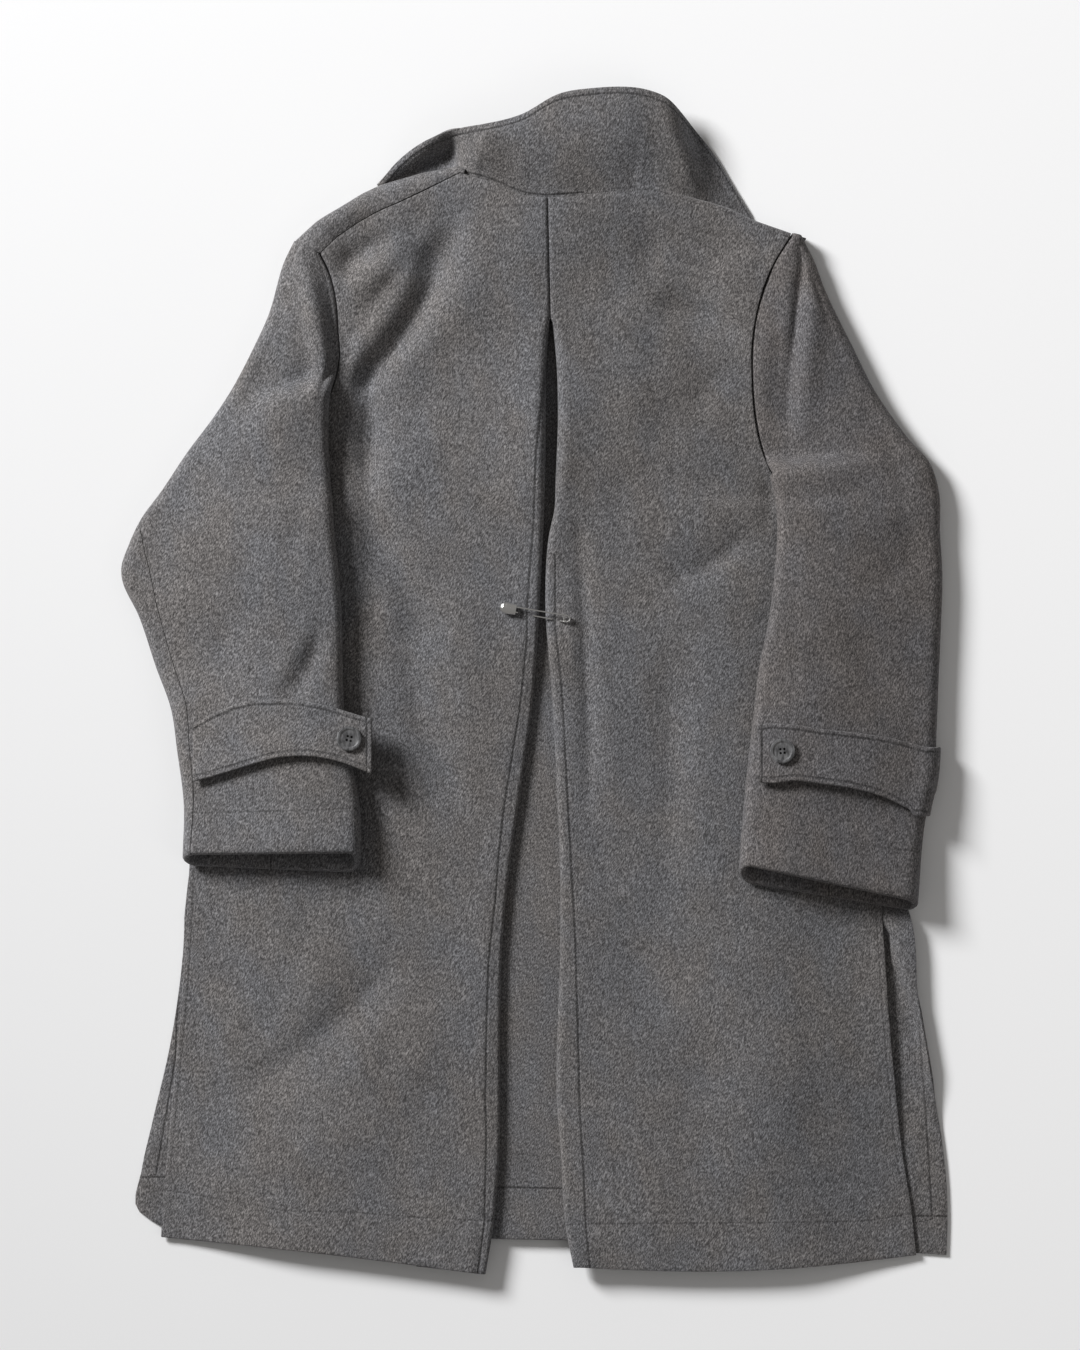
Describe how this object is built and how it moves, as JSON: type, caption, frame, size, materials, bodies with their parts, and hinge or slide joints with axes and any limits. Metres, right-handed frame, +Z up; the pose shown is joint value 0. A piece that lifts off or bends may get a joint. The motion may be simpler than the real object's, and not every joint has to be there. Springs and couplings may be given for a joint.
{
  "type": "coat",
  "caption": "Knee-length charcoal wool coat lying flat face down, with a wide collar, an inverted pleat at the back and buttoned cuff straps.",
  "frame": {"origin": "bottom centre of the bounding box, on the surface that the coat lies on", "axes": "+X to the right as seen from above, +Y along the centre back towards the collar, +Z up from the surface"},
  "size_m": [0.73, 1.0507, 0.0509],
  "materials": {
    "wool": "matte",
    "horn": "satin",
    "steel": "polished"
  },
  "bodies": {
    "root": {"back_left": "wool", "back_right": "wool", "pleat_underlay": "wool", "front_left": "wool", "front_right": "wool", "sleeve_left_back": "wool", "sleeve_left_front": "wool", "sleeve_right_back": "wool", "sleeve_right_front": "wool", "collar": "wool", "cuff_tab_left": "wool", "cuff_tab_right": "wool", "button_left": "horn", "button_right": "horn", "safety_pin": "steel", "pin_clasp": "steel"}
  },
  "joints": []
}
